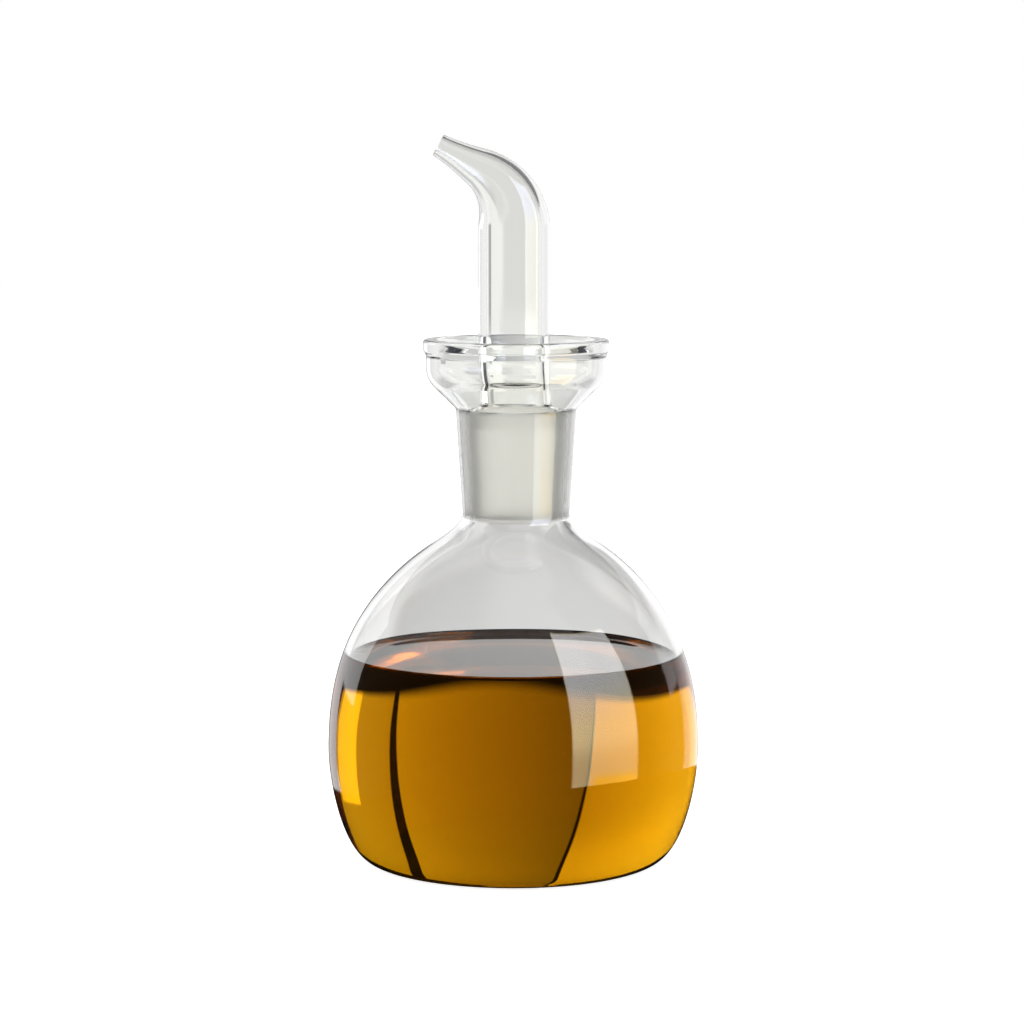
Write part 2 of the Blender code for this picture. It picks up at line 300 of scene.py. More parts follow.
class NodeSheet:
    """A material's or world's node tree, with short calls for adding nodes."""

    def __init__(self, tree: bpy.types.NodeTree) -> None:
        """Starts on an empty tree."""
        self.tree = tree
        tree.nodes.clear()

    def add(self, kind: str, **settings: object) -> bpy.types.Node:
        """Adds a node and sets its properties."""
        node = self.tree.nodes.new(kind)
        for name, value in settings.items():
            setattr(node, name, value)
        return node

    def feed(self, socket: bpy.types.NodeSocket, value: object) -> None:
        """Links a socket to another one, or sets its number or colour."""
        if isinstance(value, bpy.types.NodeSocket):
            self.tree.links.new(value, socket)
        else:
            socket.default_value = value

    def math(self, operation: str, *values: object) -> bpy.types.NodeSocket:
        """Adds a Math node on up to three values and returns its result."""
        node = self.add("ShaderNodeMath", operation=operation)
        for socket, value in zip(node.inputs, values):
            self.feed(socket, value)
        return node.outputs["Value"]

    def ramp(self, value: object, low: object, high: object, to_low: object = 0.0, to_high: object = 1.0,
             eased: bool = True) -> bpy.types.NodeSocket:
        """Maps value from low..high to to_low..to_high, held at both ends, with an S-shaped ease if eased."""
        node = self.add("ShaderNodeMapRange", interpolation_type="SMOOTHSTEP" if eased else "LINEAR")
        for name, given in (("Value", value), ("From Min", low), ("From Max", high),
                            ("To Min", to_low), ("To Max", to_high)):
            self.feed(node.inputs[name], given)
        return node.outputs["Result"]

    def mix(self, factor: object, first: object, second: object) -> bpy.types.NodeSocket:
        """Mixes two colours by a factor and returns the result."""
        node = self.add("ShaderNodeMix", data_type="RGBA", clamp_result=False)
        colours = [socket for socket in node.inputs if socket.type == "RGBA"]
        self.feed(node.inputs[0], factor)
        self.feed(colours[0], first)
        self.feed(colours[1], second)
        return [socket for socket in node.outputs if socket.type == "RGBA"][0]


@dataclass(frozen=True)
class ClearGlass:
    """Polished colourless glass.

    Oil bends light as glass does, so where they meet nothing shines, and a wetted face has no shine.
    """

    name: str = "clear_glass_polished"
    # The shine tints what a face reflects: black where oil wets it, and a painted cool tint on the neck, cup
    # and spout.
    shine: tuple[float, float, float] = (1.0, 1.0, 1.0)
    tint: tuple[float, float, float] = (0.985, 0.990, 0.982)
    roughness: float = 0.0
    refraction: float = 1.47

    def make(self) -> bpy.types.Material:
        """Returns the material."""
        material = bpy.data.materials.new(self.name)
        material.use_nodes = True
        sheet = NodeSheet(material.node_tree)
        shader = sheet.add("ShaderNodeBsdfPrincipled")
        shader.inputs["Base Color"].default_value = (*self.tint, 1.0)
        shader.inputs["Roughness"].default_value = self.roughness
        shader.inputs["IOR"].default_value = self.refraction
        shader.inputs["Transmission Weight"].default_value = 1.0
        shader.inputs["Specular Tint"].default_value = (*self.shine, 1.0)
        output = sheet.add("ShaderNodeOutputMaterial")
        sheet.feed(output.inputs["Surface"], shader.outputs["BSDF"])
        return material


@dataclass(frozen=True)
class GroundGlass:
    """Finely ground glass, as on the faces of a joint."""

    tint: tuple[float, float, float] = (0.97, 0.965, 0.94)
    smoothest: float = 0.30
    roughest: float = 0.38
    refraction: float = 1.47
    grain: float = 900.0
    grain_detail: float = 3.0
    grain_low: float = 0.3
    grain_high: float = 0.7

    def make(self) -> bpy.types.Material:
        """Returns the material."""
        material = bpy.data.materials.new("ground_glass_joint")
        material.use_nodes = True
        sheet = NodeSheet(material.node_tree)
        shader = sheet.add("ShaderNodeBsdfPrincipled")
        shader.inputs["Base Color"].default_value = (*self.tint, 1.0)
        shader.inputs["IOR"].default_value = self.refraction
        shader.inputs["Transmission Weight"].default_value = 1.0
        place = sheet.add("ShaderNodeTexCoord")
        grit = sheet.add("ShaderNodeTexNoise")
        sheet.feed(grit.inputs["Vector"], place.outputs["Object"])
        grit.inputs["Scale"].default_value = self.grain
        grit.inputs["Detail"].default_value = self.grain_detail
        roughness = sheet.ramp(grit.outputs["Fac"], self.grain_low, self.grain_high,
                               self.smoothest, self.roughest, eased=False)
        sheet.feed(shader.inputs["Roughness"], roughness)
        output = sheet.add("ShaderNodeOutputMaterial")
        sheet.feed(output.inputs["Surface"], shader.outputs["BSDF"])
        return material


@dataclass(frozen=True)
class GoldenOil:
    """Clear golden olive oil, its colour deeper where light goes through more of it."""

    refraction: float = 1.47
    depth_colour: tuple[float, float, float] = (0.915, 0.785, 0.02)
    density: float = 78.0

    def make(self) -> bpy.types.Material:
        """Returns the material, clear at its surface with a plain absorption inside."""
        material = bpy.data.materials.new("golden_oil_liquid")
        material.use_nodes = True
        sheet = NodeSheet(material.node_tree)
        shader = sheet.add("ShaderNodeBsdfPrincipled")
        shader.inputs["Base Color"].default_value = WHITE
        shader.inputs["Roughness"].default_value = 0.0
        shader.inputs["IOR"].default_value = self.refraction
        shader.inputs["Specular Tint"].default_value = BLACK
        shader.inputs["Transmission Weight"].default_value = 1.0
        depth = sheet.add("ShaderNodeVolumeAbsorption")
        depth.inputs["Color"].default_value = (*self.depth_colour, 1.0)
        depth.inputs["Density"].default_value = self.density
        output = sheet.add("ShaderNodeOutputMaterial")
        sheet.feed(output.inputs["Surface"], shader.outputs["BSDF"])
        sheet.feed(output.inputs["Volume"], depth.outputs["Volume"])
        return material


@dataclass
class Flask:
    """The blown flask: a squashed bulb with a flat foot, a ground neck and a drip cup with a lip."""

    glass: bpy.types.Material
    ground: bpy.types.Material
    wetted: bpy.types.Material
    painted_cool_shine: bpy.types.Material
    oil_line: float
    bulb_radius: float = 0.0534
    widest_height: float = 0.0320
    foot_radius: float = 0.0382
    foot_inset: float = 0.004
    inner_foot_step: float = 0.0010
    shoulder_rise: float = 0.0690
    wall: float = 0.0021
    base_thickness: float = 0.0034
    lower_powers: tuple[float, float] = (2.5, 1.5)
    upper_powers: tuple[float, float] = (1.6, 2.4)
    blend_radius: float = 0.0235
    corner_reach: float = 0.0016
    joint_bottom: float = 0.0990
    joint_top: float = 0.1311
    joint_radius_bottom: float = 0.0130
    joint_radius_top: float = 0.0146
    joint_rows: int = 22
    mouth_bevel: float = 0.0006
    neck_radius_bottom: float = 0.01535
    neck_radius_top: float = 0.0173
    neck_lift: float = 0.0015
    cup_radius: float = 0.0258
    cup_wall: float = 0.0031
    cup_shoulder_height: float = 0.1426
    cup_shoulder_round: float = 0.0075
    cone_angle: float = 45.0
    lip_radius: float = 0.0266
    lip_inner_radius: float = 0.0224
    lip_bottom: float = 0.1470
    lip_top: float = 0.1509
    lip_round: float = 0.0008
    lip_step: float = 0.0010
    bead_start: float = -70.0
    rim_reach: float = 0.00028
    rim_step: float = 0.0016
    rim_turn: float = 6.0
    ripple_start: float = 0.004
    ripple_end: float = 0.02
    steps: int = 208
    sway: Sway = field(default_factory=Sway)

    def lower_curve(self, radius: float, foot: float, floor: float) -> Outline:
        """The heel, from the foot to the widest ring.

        r = foot + (radius - foot) sin(t)^(2/p), z = floor + (widest - floor) (1 - cos(t)^(2/q)), with
        t from 0 to 90 degrees and the powers p and q for the roundness.

        Args:
            radius: the radius of the widest ring.
            foot: the radius of the flat foot.
            floor: the foot's height.

        Returns:
            The curve's points from the foot up.
        """
        power_r, power_z = self.lower_powers
        turn = np.linspace(0.0, math.pi / 2, 240)
        spread = np.sin(turn) ** (2 / power_r)
        climb = 1 - np.clip(np.cos(turn), 0.0, 1.0) ** (2 / power_z)
        return np.column_stack([foot + (radius - foot) * spread,
                                floor + (self.widest_height - floor) * climb])

    def upper_curve(self, radius: float, rise: float, end_radius: float) -> Outline:
        """The shoulder, from the widest ring to where it has narrowed to end_radius.

        r = radius cos(t)^(2/p), z = widest + rise sin(t)^(2/q).

        Args:
            radius: the radius of the widest ring.
            rise: the height of the curve's pole over the widest ring.
            end_radius: where the curve is left.

        Returns:
            The curve's points from the widest ring up.
        """
        power_r, power_z = self.upper_powers
        end = math.acos((end_radius / radius) ** (power_r / 2))
        turn = end * np.linspace(0.0, 1.0, 300) ** 1.2
        return np.column_stack([radius * np.cos(turn) ** (2 / power_r),
                                self.widest_height + rise * np.sin(turn) ** (2 / power_z)])

    def neck_blend(self, shoulder: Outline, neck_radius: float, neck_height: float) -> Outline:
        """The hollow curve from the shoulder into the neck, a quadratic Bezier curve.

        (1-s)^2 start + 2 s (1-s) corner + s^2 end, the corner being where the shoulder's tangent
        meets the neck's side.

        Args:
            shoulder: the shoulder's points, which give the start and its direction.
            neck_radius: the radius at the end.
            neck_height: the height of the end.

        Returns:
            The curve's points.
        """
        start = shoulder[-1]
        slope = shoulder[-1] - shoulder[-3]
        corner = start + slope * ((neck_radius - start[0]) / slope[0])
        end = np.array([neck_radius, neck_height])
        share = np.linspace(0.0, 1.0, 40)[:, None]
        return start * (1 - share) ** 2 + corner * 2 * share * (1 - share) + end * share ** 2

    def bulb_outside(self) -> Outline:
        """The outside from the foot's centre to the bottom of the neck."""
        shoulder = self.upper_curve(self.bulb_radius, self.shoulder_rise, self.blend_radius)
        neck = self.neck_blend(shoulder, self.neck_radius_bottom, self.joint_bottom + self.neck_lift)
        body = joined(self.lower_curve(self.bulb_radius, self.foot_radius, 0.0), shoulder, neck)
        rounded = softened(body, self.corner_reach)
        return joined(np.array([[0.0, 0.0], [self.foot_radius - self.foot_inset, 0.0]]), rounded)

    def bulb_inside(self, extra: float = 0.0) -> Outline:
        """The inside from the floor's centre to the bottom of the ground joint.

        Args:
            extra: how far outside the inner wall the line runs, for what reaches into the wall.

        Returns:
            The line's points from the floor up.
        """
        radius = self.bulb_radius - self.wall + extra
        rise = self.shoulder_rise - self.wall + extra
        foot = self.foot_radius - self.inner_foot_step + extra
        floor = self.base_thickness - extra
        shoulder = self.upper_curve(radius, rise, self.blend_radius - self.wall + extra)
        neck = self.neck_blend(shoulder, self.joint_radius_bottom + extra, self.joint_bottom)
        body = joined(self.lower_curve(radius, foot, floor), shoulder, neck)
        rounded = softened(body, self.corner_reach)
        return joined(np.array([[0.0, floor], [foot - self.foot_inset, floor]]), rounded)

    def cup_outside(self) -> Outline:
        """The outside from the neck's top over the cup's cone and shoulder to the top of the lip."""
        centre = (self.cup_radius - self.cup_shoulder_round, self.cup_shoulder_height)
        shoulder = round_corner(centre, self.cup_shoulder_round, -self.cone_angle, 0.0)
        drop = (shoulder[0, 0] - self.neck_radius_top) / math.tan(math.radians(self.cone_angle))
        foot_height = shoulder[0, 1] - drop
        neck_end = np.array([[self.neck_radius_top, foot_height]])
        bead = joined(round_corner((self.lip_radius - self.lip_round, self.lip_bottom + self.lip_round),
                                   self.lip_round, self.bead_start, 0.0),
                      round_corner((self.lip_radius - self.lip_round, self.lip_top - self.lip_round),
                                   self.lip_round, 0.0, 90.0))
        side = np.array([[self.cup_radius, self.lip_bottom - self.lip_round]])
        return joined(neck_end, shoulder, side, bead)

    def cup_inside(self) -> Outline:
        """The inside from the top of the lip down the bowl to the mouth of the ground joint."""
        lip = round_corner((self.lip_inner_radius + self.lip_round, self.lip_top - self.lip_round),
                           self.lip_round, 90.0, 180.0)
        step = np.array([[self.lip_inner_radius, self.lip_bottom],
                         [self.cup_radius - self.cup_wall, self.lip_bottom - self.lip_step]])
        centre = (self.cup_radius - self.cup_shoulder_round, self.cup_shoulder_height)
        bowl = round_corner(centre, self.cup_shoulder_round - self.cup_wall, 0.0, -self.cone_angle)
        mouth = np.array([[self.joint_radius_top + self.mouth_bevel, self.joint_top + self.mouth_bevel],
                          [self.joint_radius_top, self.joint_top]])
        return joined(lip, step, bowl, mouth)

    def outline(self) -> tuple[Outline, np.ndarray]:
        """The whole cut outline, from the foot's centre up the outside and down the inside.

        Returns:
            The outline's points, and for each the finish of the surface after it.
        """
        outside = self.bulb_outside()
        bowl = joined(outside[-1:], self.cup_outside(), self.cup_inside())
        rim = softened(bowl, self.rim_reach, FINE_SPACING)
        inside = self.bulb_inside()[::-1]
        body = thinned(outside, LONGEST_STEP, SHARPEST_STEP)
        cup = thinned(rim, self.rim_step, self.rim_turn)
        joint = cup[-1] + (inside[0] - cup[-1]) * np.linspace(0.0, 1.0, self.joint_rows)[:, None]
        hollow = thinned(inside, LONGEST_STEP, SHARPEST_STEP)
        points = np.vstack([body[:-1], cup, joint[1:], hollow[1:]])
        # Above the joint's bottom the faces take the copy with painted dimmer, bluer reflections.
        sides = np.where(points[:, 1] > self.joint_bottom, Side.PAINTED_COOL_SHINE.value, Side.POLISHED.value)
        first_ground = len(body) - 1 + len(cup) - 1
        sides[first_ground:first_ground + self.joint_rows - 1] = Side.GROUND.value
        in_hollow = np.arange(len(points)) >= len(points) - len(hollow)
        sides[in_hollow & (points[:, 1] < self.oil_line)] = Side.WETTED.value
        return points, sides

    def build(self) -> bpy.types.Object:
        """Makes the flask's glass as one closed piece."""
        points, sides = self.outline()
        height = points[:, 1]
        below_neck = np.clip((self.joint_bottom - height) / self.ripple_end, 0.0, 1.0)
        loose = below_neck * np.clip(height / self.ripple_start, 0.0, 1.0)
        surface = turned(points, self.steps, self.sway, loose)
        # Three finishes, and one copy of the clear glass with painted cooler reflections.
        finishes = [self.glass, self.ground, self.wetted, self.painted_cool_shine]
        piece = make_piece("flask_glass", surface, finishes, sides, ring=False)
        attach(piece, BODY)
        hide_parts("bulb", "shoulder", "neck", "drip_cup")
        return piece


@dataclass
class OilFill:
    """The oil, which fills the bulb up to a level surface and climbs a little at the wall."""

    flask: Flask
    oil: bpy.types.Material
    level: float = OIL_LEVEL
    reach: float = 0.0004
    climb: float = OIL_CLIMB
    climb_width: float = 0.0015
    rim_width: float = 0.006
    rim_rows: int = 40
    level_rows: int = 12
    ripple_start: float = 0.004
    steps: int = 208

    def outline(self) -> Outline:
        """The oil's cut outline, from the floor's centre up inside the wall and over the surface.

        The surface's height is level + climb exp(-(distance from the wall) / width).
        """
        wall = self.flask.bulb_inside(self.reach)
        top = self.level + self.climb
        side = wall[wall[:, 1] <= top]
        rim = side[-1]
        near_wall = np.linspace(0.0, self.rim_width, self.rim_rows)[1:]
        distance = np.concatenate([near_wall, np.linspace(self.rim_width, rim[0], self.level_rows)[1:]])
        height = self.level + (rim[1] - self.level) * np.exp(-distance / self.climb_width)
        surface = np.column_stack([rim[0] - distance, height])
        surface[-1, 0] = 0.0
        return joined(thinned(side, LONGEST_STEP, SHARPEST_STEP), surface)

    def build(self) -> bpy.types.Object:
        """Makes the oil as one closed piece that reaches just into the glass."""
        points = self.outline()
        height = points[:, 1]
        loose = np.clip(height / self.ripple_start - 0.5, 0.0, 1.0)
        surface = turned(points, self.steps, self.flask.sway, loose)
        sides = np.zeros(len(points), dtype=int)
        piece = make_piece("golden_oil_fill", surface, [self.oil], sides, ring=False)
        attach(piece, BODY)
        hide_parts("oil")
        return piece


@dataclass
class PouringSpout:
    """The stopper: a hollow ground plug, and a tube that rises, bends to -X and narrows to a tip."""

    glass: bpy.types.Material
    ground: bpy.types.Material
    sway: Sway
    joint_bottom: float = 0.0990
    joint_top: float = 0.1311
    joint_radius_bottom: float = 0.0130
    joint_radius_top: float = 0.0146
    gap: float = 0.0001
    plug_lift: float = 0.0003
    plug_inset: float = 0.0005
    plug_bevel: float = 0.0007
    plug_wall: float = 0.0020
    tube_radius: float = 0.0102
    tube_wall: float = 0.0021
    shoulder_top: float = 0.1345
    bore_end_drop: float = 0.0005
    bore_start_drop: float = 0.0015
    bend_start: float = 0.1830
    bend_radius: float = 0.0188
    bend_angle: float = 61.0
    tip_length: float = 0.0135
    tip_radius: float = 0.00327
    tip_wall: float = 0.00095
    eased: float = 0.6
    corner_reach: float = 0.00022
    longest_step: float = 0.0011
    sharpest_step: float = 9.0
    ground_over: float = 0.0002
    ground_from: float = 0.0009
    ground_depth: float = 0.0006
    steps: int = 120
    tilt: Sway = field(default_factory=lambda: Sway(offset=-0.0006, start=0.1311, end=0.1460))

    def centre_line(self, along: np.ndarray) -> tuple[np.ndarray, np.ndarray]:
        """The tube's centre and heading at a length along its centre line.

        Below the bend the centre is (0, 0, along). In the bend the heading turns evenly from +Z
        towards -X, and the tip is straight.

        Args:
            along: the length from the table up the centre line, in metres.

        Returns:
            The centres and the headings, each of shape (n, 3).
        """
        full = math.radians(self.bend_angle)
        turn = np.clip((along - self.bend_start) / self.bend_radius, 0.0, full)
        past = np.clip(along - self.bend_start - self.bend_radius * full, 0.0, None)
        straight = np.minimum(along, self.bend_start)
        x = -self.bend_radius * (1 - np.cos(turn)) - past * np.sin(turn)
        z = straight + self.bend_radius * np.sin(turn) + past * np.cos(turn)
        centre = np.column_stack([x, np.zeros_like(x), z])
        heading = np.column_stack([-np.sin(turn), np.zeros_like(x), np.cos(turn)])
        return centre, heading

    def taper(self, along: np.ndarray) -> np.ndarray:
        """How far the tube has narrowed, at each length along its centre line.

        This is eased (1 - cos(pi s)) / 2 + (1 - eased) s, with s from 0 to 1 along bend and tip.
        """
        share = np.clip((along - self.bend_start) / (self.tip_end - self.bend_start), 0.0, 1.0)
        return self.eased * (1 - np.cos(math.pi * share)) / 2 + (1 - self.eased) * share

    @property
    def tip_end(self) -> float:
        """The length along the centre line at which the tip ends."""
        return self.bend_start + self.bend_radius * math.radians(self.bend_angle) + self.tip_length

    def outside(self) -> Outline:
        """The outer radius against the length along the centre line, from the plug up to the tip."""
        plug_bottom = self.joint_bottom + self.plug_lift
        slope = (self.joint_radius_top - self.joint_radius_bottom) / (self.joint_top - self.joint_bottom)
        foot_radius = self.joint_radius_bottom - self.gap
        plug = np.array([[foot_radius - self.plug_inset, plug_bottom],
                         [foot_radius + self.plug_bevel * slope, plug_bottom + self.plug_bevel],
                         [self.joint_radius_top - self.gap, self.joint_top]])
        share = np.linspace(0.0, 1.0, 24)[1:]
        ease = (1 - np.cos(math.pi * share)) / 2
        wide = self.joint_radius_top - self.gap
        shoulder = np.column_stack([wide + (self.tube_radius - wide) * ease,
                                    self.joint_top + (self.shoulder_top - self.joint_top) * share])
        along = np.linspace(self.shoulder_top, self.tip_end, 160)[1:]
        narrowing = (self.tip_radius - self.tube_radius) * self.taper(along)
        tube = np.column_stack([self.tube_radius + narrowing, along])
        return joined(plug, shoulder, tube)

    def bore(self) -> Outline:
        """The bore's radius against the length along the centre line, from the tip down to the plug."""
        bore_radius = self.tube_radius - self.tube_wall
        tip_bore = self.tip_radius - self.tip_wall
        high = self.shoulder_top - self.bore_end_drop
        along = np.linspace(self.tip_end, high, 160)
        tube = np.column_stack([bore_radius + (tip_bore - bore_radius) * self.taper(along), along])
        share = np.linspace(1.0, 0.0, 24)[1:]
        ease = (1 - np.cos(math.pi * share)) / 2
        wide = self.joint_radius_top - self.gap - self.plug_wall
        low = self.joint_top - self.bore_start_drop
        shoulder = np.column_stack([wide + (bore_radius - wide) * ease, low + (high - low) * share])
        end = np.array([[self.joint_radius_bottom - self.plug_wall, self.joint_bottom + self.plug_lift]])
        return joined(tube, shoulder, end)

    def outline(self) -> tuple[Outline, np.ndarray]:
        """The wall's closed cut outline as (radius, length along), and the finish after each point."""
        outside = self.outside()
        bore = self.bore()
        seam = (outside[0] + bore[-1]) / 2
        loop = joined(seam[None, :], outside, bore, seam[None, :])
        rounded = softened(loop, self.corner_reach, FINE_SPACING)
        rows = thinned(rounded, self.longest_step, self.sharpest_step)[:-1]
        ahead = np.roll(rows, -1, axis=0)
        middle = (rows + ahead) / 2
        below_top = middle[:, 1] < self.joint_top + self.ground_over
        above_foot = middle[:, 1] > self.joint_bottom + self.ground_from
        outer = middle[:, 0] > self.joint_radius_bottom - self.gap - self.ground_depth
        sides = np.where(below_top & above_foot & outer, Side.GROUND.value, Side.POLISHED.value)
        return rows, sides

    def build(self) -> bpy.types.Object:
        """Carries the outline's rings along the centre line: centre + r (cos a side + sin a Y)."""
        rows, sides = self.outline()
        centre, heading = self.centre_line(rows[:, 1])
        across = np.column_stack([heading[:, 2], np.zeros(len(rows)), -heading[:, 0]])
        angle = np.linspace(0.0, math.tau, self.steps, endpoint=False)
        radius = rows[:, :1]
        ring = radius[:, :, None] * (np.cos(angle)[None, :, None] * across[:, None, :]
                                     + np.sin(angle)[None, :, None] * np.array([0.0, 1.0, 0.0]))
        surface = centre[:, None, :] + ring
        surface[..., 0] += self.sway.lean(surface[..., 2]) + self.tilt.lean(surface[..., 2])
        piece = make_piece("spout_stopper", surface, [self.glass, self.ground], sides, ring=True)
        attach(piece, BODY)
        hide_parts("plug", "tube", "nozzle")
        return piece


class Seen(Enum):
    """Which rays see a panel of light."""

    ALL = "all rays"
    MIRRORED = "rays that some glass has mirrored"
    FIRST = "rays that an outer face has mirrored before they entered any glass"
    WALL = "rays that were mirrored inside a wall of glass and left it again"
    JOINT = "mirrored rays that also crossed both pieces of glass, as in the joint"
    THROUGH = "rays that only pass through glass or oil"
    CLEAR = "rays that only pass through clear glass"


@dataclass(frozen=True)
class Panel:
    """A soft-edged panel of light in the surroundings, in degrees.

    It reaches from azimuth start to azimuth end, counted from straight behind the cruet, as the
    camera sees it, to the right, and from height low to height high. The light changes evenly from
    the value first, at start, to the value last, at end. Its sides lean by start_lean and end_lean
    degrees to the right for each degree of height, and its top climbs by slant degrees for each
    degree to the right. Its edges are soft over so many degrees, the low edge over low_soft.
    """

    start: float
    end: float
    low: float
    high: float
    first: float
    last: float
    soft: float = 1.0
    low_soft: float = 1.0
    start_lean: float = 0.0
    end_lean: float = 0.0
    slant: float = 0.0
    tint: tuple[float, float, float] = (1.0, 1.0, 1.0)
    seen: Seen = Seen.ALL

    @property
    def middle(self) -> float:
        """The azimuth of the panel's middle."""
        return (self.start + self.end) / 2

    @property
    def half(self) -> float:
        """Half the panel's width."""
        return (self.end - self.start) / 2


@dataclass
class Studio:
    """The camera, the pale floor and the surroundings that light the glass."""

    lens: float = 115.1
    sensor: float = 36.0
    distance: float = 0.9342
    height: float = 0.2043
    pitch: float = 0.1099
    side: float = -0.0004
    floor_radius: float = 4.0
    floor_drop: float = 0.00015
    floor_sides: int = 96
    floor_white: float = 0.8
    floor_glow: float = 0.9
    # Painted dark reflection: an oval of floor that is near-black only to rays coming from the glass, one
    # oval for rays through it and one for mirrored rays.
    painted_dark_level: float = 0.02
    painted_dark_soft: float = 0.05
    painted_dark_centre: tuple[float, float] = (0.0, 0.0)
    painted_dark_reach: tuple[float, float] = (0.093, 0.166)
    mirrored_centre: tuple[float, float] = (0.030, 0.0)
    mirrored_reach: tuple[float, float] = (0.133, 0.142)
    room: tuple[float, float, float] = (0.02, 0.02, 0.02)
    warm: tuple[float, float, float] = (1.0, 0.90, 0.54)
    gold: tuple[float, float, float] = (1.0, 0.64, 0.10)
    oil_walls: tuple[int, int] = (5, 7)
    deep_gain: float = 0.18
    lamp_size: float = 3.0
    lamp_power: float = 22.0
    lamp_height: float = 1.8
    bounces: int = 20
    glossy_bounces: int = 8
    diffuse_bounces: int = 2

    def panels(self) -> list[Panel]:
        """The panels of light, each laid over those before it."""
        return [
            Panel(100.0, 282.0, -90.0, 40.0, 0.55, 0.55, 12.0, seen=Seen.THROUGH),
            Panel(-78.0, -58.0, -90.0, 26.0, 2.6, 2.6, seen=Seen.THROUGH),
            Panel(-60.0, -13.4, -90.0, 26.0, 2.00, 0.98, 0.5, end_lean=0.21),
            Panel(-60.0, -13.4, 6.0, 26.0, 2.30, 1.30, 0.5, low_soft=12.0, end_lean=0.21, seen=Seen.THROUGH),
            Panel(-64.0, -37.0, -90.0, -0.5, 0.05, 0.05, 1.5, seen=Seen.MIRRORED),
            Panel(-12.6, 24.6, -90.0, 26.0, 0.34, 0.98, 0.5, start_lean=0.23, end_lean=-0.10),
            Panel(27.6, 62.0, -90.0, 26.0, 0.88, 1.20, 0.5, start_lean=-0.02),
            Panel(43.0, 59.5, -90.0, 6.0, 2.7, 2.7, slant=0.2, seen=Seen.THROUGH),
            Panel(14.0, 49.0, -90.0, 26.0, 1.5, 0.75, 5.0, seen=Seen.MIRRORED),
            Panel(48.0, 66.0, -90.0, 2.5, 0.05, 0.05, 2.0, seen=Seen.MIRRORED),
            Panel(-9.0, 26.0, 2.5, 26.0, 0.62, 1.50, 3.0, low_soft=3.0, seen=Seen.MIRRORED),
            Panel(98.0, 144.0, -90.0, 46.0, 4.7, 6.5, 2.5, slant=0.24, tint=self.warm, seen=Seen.FIRST),
            Panel(98.0, 144.0, -4.0, 46.0, 7.5, 10.6, 2.5, low_soft=10.0, slant=0.24, tint=self.warm,
                  seen=Seen.FIRST),
            Panel(98.0, 130.0, -90.0, -11.5, 7.5, 7.5, 4.0, tint=self.gold, seen=Seen.FIRST),
            Panel(-180.0, 180.0, -90.0, 90.0, 0.80, 0.80, seen=Seen.JOINT),
            Panel(98.0, 144.0, 14.0, 46.0, 7.0, 8.5, 2.5, low_soft=24.0, slant=0.24, seen=Seen.MIRRORED),
            Panel(-180.0, 180.0, -90.0, 90.0, 0.94, 0.94, seen=Seen.WALL),
            Panel(-180.0, 180.0, -90.0, -20.0, 0.62, 0.62, 12.0, seen=Seen.WALL),
            Panel(15.0, 120.0, 12.0, 70.0, 0.20, 0.20, 6.0, low_soft=6.0, seen=Seen.WALL),
            Panel(-180.0, 180.0, -90.0, 90.0, 0.64, 0.64, seen=Seen.CLEAR),
            Panel(-180.0, 180.0, -90.0, 10.0, 0.80, 0.80, 3.0, seen=Seen.CLEAR),
            Panel(-180.0, 180.0, -90.0, 2.6, 0.97, 0.97, 1.5, seen=Seen.CLEAR),
            Panel(-5.0, 3.5, -90.0, -2.9, 0.78, 0.78, 2.0, seen=Seen.CLEAR),
            Panel(-0.8, 8.0, -90.0, -5.4, 0.76, 0.84, 1.2, seen=Seen.CLEAR),
            Panel(-4.8, -0.8, -90.0, -5.2, 0.65, 0.70, 1.2, seen=Seen.CLEAR),
            Panel(-3.5, 12.0, -2.9, 2.6, 0.77, 0.77, 2.0, low_soft=0.8, seen=Seen.CLEAR),
            Panel(-20.0, -13.5, -3.2, 8.0, 0.40, 0.40, 1.2, seen=Seen.CLEAR),
        ]

    def place_camera(self) -> None:
        """Stands the camera in front of the cruet, looking slightly down."""
        camera = bpy.data.cameras.new("camera")
        camera.lens = self.lens
        camera.sensor_width = self.sensor
        camera.clip_end = 50.0
        holder = bpy.data.objects.new("camera", camera)
        holder.location = (self.side, -self.distance, self.height)
        holder.rotation_euler = (math.pi / 2 - self.pitch, 0.0, 0.0)
        bpy.context.scene.collection.objects.link(holder)
        bpy.context.scene.camera = holder

    def light(self) -> None:
        """Makes the surroundings: white to the camera, and panels of light to the glass and the floor."""
        world = bpy.data.worlds.new("studio")
        world.use_nodes = True
        sheet = NodeSheet(world.node_tree)
        direction = sheet.add("ShaderNodeTexCoord")
        parts = sheet.add("ShaderNodeSeparateXYZ")
        sheet.feed(parts.inputs[0], direction.outputs["Generated"])
        azimuth = sheet.math("DEGREES", sheet.math("ARCTAN2", parts.outputs["X"], parts.outputs["Y"]))
        elevation = sheet.math("DEGREES", sheet.math("ARCSINE", parts.outputs["Z"]))
        path = sheet.add("ShaderNodeLightPath")
        mirrored = sheet.math("MINIMUM", path.outputs["Glossy Depth"], 1.0)
        through = sheet.math("SUBTRACT", 1.0, mirrored)
        walls = path.outputs["Transmission Depth"]
        fewer = sheet.math("LESS_THAN", walls, self.oil_walls[0] - 0.5)
        more = sheet.math("GREATER_THAN", walls, self.oil_walls[1] + 0.5)
        clear = sheet.math("MULTIPLY", through, sheet.math("ADD", fewer, more))
        outermost = sheet.math("MULTIPLY", mirrored, sheet.math("LESS_THAN", walls, 0.5))
        in_wall = sheet.math("MULTIPLY", mirrored, sheet.math("COMPARE", walls, 2.0, 0.5))
        in_joint = sheet.math("MULTIPLY", mirrored, more)
        rays = {Seen.MIRRORED: mirrored, Seen.FIRST: outermost, Seen.WALL: in_wall, Seen.JOINT: in_joint,
                Seen.THROUGH: through, Seen.CLEAR: clear}
